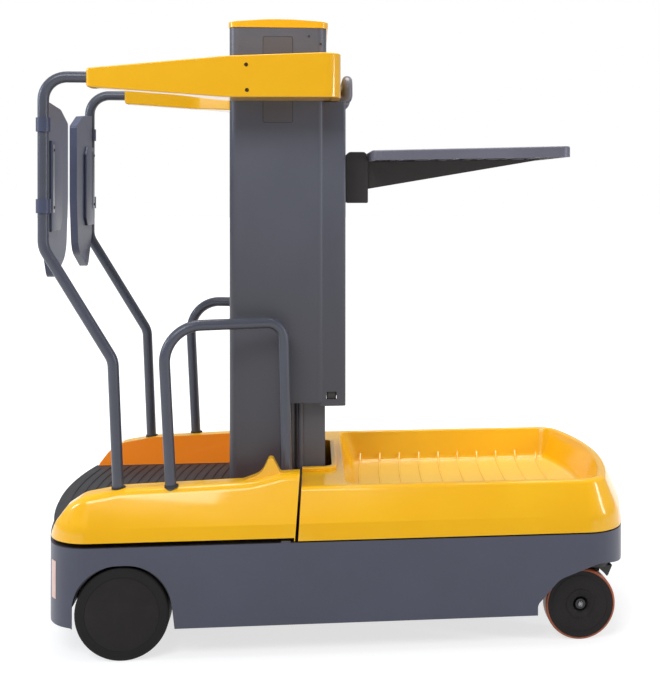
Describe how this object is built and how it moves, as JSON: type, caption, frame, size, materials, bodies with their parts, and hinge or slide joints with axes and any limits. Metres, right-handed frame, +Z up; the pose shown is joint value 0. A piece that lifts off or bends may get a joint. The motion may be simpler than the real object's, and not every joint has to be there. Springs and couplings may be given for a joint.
{
  "type": "order picker truck",
  "caption": "Electric order picker truck with a lifting driver platform, mast column, guard hoops, swing gates, load tray and a tub-shaped rear load deck.",
  "frame": {"origin": "centre of the bounding box on the floor", "axes": "+X toward the load deck, -Y toward the pictured side, +Z up"},
  "size_m": [1.5398, 0.76, 1.607],
  "materials": {
    "slate_paint": "satin",
    "grey_paint": "satin",
    "black_paint": "satin",
    "yellow_shell": "gloss",
    "bright_steel": "polished",
    "black_tyre": "matte",
    "black_plastic": "matte",
    "orange_tread": "matte",
    "black_rubber": "ribbed",
    "grey_plastic": "fine texture",
    "dark_plastic": "fine texture",
    "slate_plastic": "satin"
  },
  "bodies": {
    "chassis": {"skirt": "slate_paint", "chassis_plate": "black_paint", "battery_block": "black_paint", "deck_cover": "yellow_shell", "mast_outer": "grey_paint", "lift_cylinders": "grey_paint", "drive_units": "black_paint", "caster_mounts": "black_paint", "arch_liners": "black_paint"},
    "drive_wheel_left": {"drive_tyre_left": "black_tyre", "drive_hub_left": "black_plastic"},
    "drive_wheel_right": {"drive_tyre_right": "black_tyre", "drive_hub_right": "black_plastic"},
    "caster_left": {"caster_fork_left": "black_paint"},
    "caster_right": {"caster_fork_right": "black_paint"},
    "caster_wheel_left": {"caster_tread_left": "orange_tread", "caster_hub_left": "black_plastic"},
    "caster_wheel_right": {"caster_tread_right": "orange_tread", "caster_hub_right": "black_plastic"},
    "mast_stage_middle": {"mast_middle": "grey_paint", "lift_rams": "bright_steel"},
    "mast_stage_inner": {"mast_inner": "grey_paint"},
    "carriage": {"platform_plate": "black_paint", "operator_mat": "black_rubber", "operator_covers": "yellow_shell", "carriage_frame": "grey_paint", "column_housing": "grey_paint", "column_cap": "yellow_shell", "arm_cover": "yellow_shell", "guard_hoops": "grey_paint", "handrails": "grey_paint", "tray_rail": "grey_paint", "rear_handle": "grey_paint"},
    "gate_left": {"gate_left": "grey_plastic"},
    "gate_right": {"gate_right": "grey_plastic"},
    "tray": {"tray_bracket": "grey_paint", "tray_gusset": "dark_plastic", "load_tray": "slate_plastic"}
  },
  "joints": [
    {"name": "drive_spin_left", "type": "hinge", "parent": "chassis", "child": "drive_wheel_left", "pos_m": [-0.548, 0.3375, 0.115], "axis": [0, 1, 0], "continuous": true},
    {"name": "caster_swivel_left", "type": "hinge", "parent": "chassis", "child": "caster_left", "pos_m": [0.647, 0.328, 0.2], "axis": [0, 0, 1], "continuous": true},
    {"name": "caster_spin_left", "type": "hinge", "parent": "caster_left", "child": "caster_wheel_left", "pos_m": [0.605, 0.328, 0.091], "axis": [0, 1, 0], "continuous": true},
    {"name": "drive_spin_right", "type": "hinge", "parent": "chassis", "child": "drive_wheel_right", "pos_m": [-0.548, -0.3375, 0.115], "axis": [0, 1, 0], "continuous": true},
    {"name": "caster_swivel_right", "type": "hinge", "parent": "chassis", "child": "caster_right", "pos_m": [0.647, -0.328, 0.2], "axis": [0, 0, 1], "continuous": true},
    {"name": "caster_spin_right", "type": "hinge", "parent": "caster_right", "child": "caster_wheel_right", "pos_m": [0.605, -0.328, 0.091], "axis": [0, 1, 0], "continuous": true},
    {"name": "lift_middle", "type": "slide", "parent": "chassis", "child": "mast_stage_middle", "axis": [0, 0, 1], "range_m": [0, 0.88]},
    {"name": "lift_inner", "type": "slide", "parent": "mast_stage_middle", "child": "mast_stage_inner", "axis": [0, 0, 1], "range_m": [0, 0.88]},
    {"name": "lift_carriage", "type": "slide", "parent": "mast_stage_inner", "child": "carriage", "axis": [0, 0, 1], "range_m": [0, 0.88]},
    {"name": "gate_swing_left", "type": "hinge", "parent": "carriage", "child": "gate_left", "pos_m": [-0.75, 0.308, 1.2], "axis": [0, 0, 1], "range_deg": [0, 80]},
    {"name": "gate_swing_right", "type": "hinge", "parent": "carriage", "child": "gate_right", "pos_m": [-0.75, -0.308, 1.2], "axis": [0, 0, 1], "range_deg": [-80, 0]},
    {"name": "tray_slide", "type": "slide", "parent": "carriage", "child": "tray", "axis": [0, 0, 1], "range_m": [-0.5, 0.1]}
  ],
  "couplings": [
    {"joint": "lift_inner", "follows": "lift_middle", "ratio": 1},
    {"joint": "lift_carriage", "follows": "lift_middle", "ratio": 1}
  ]
}
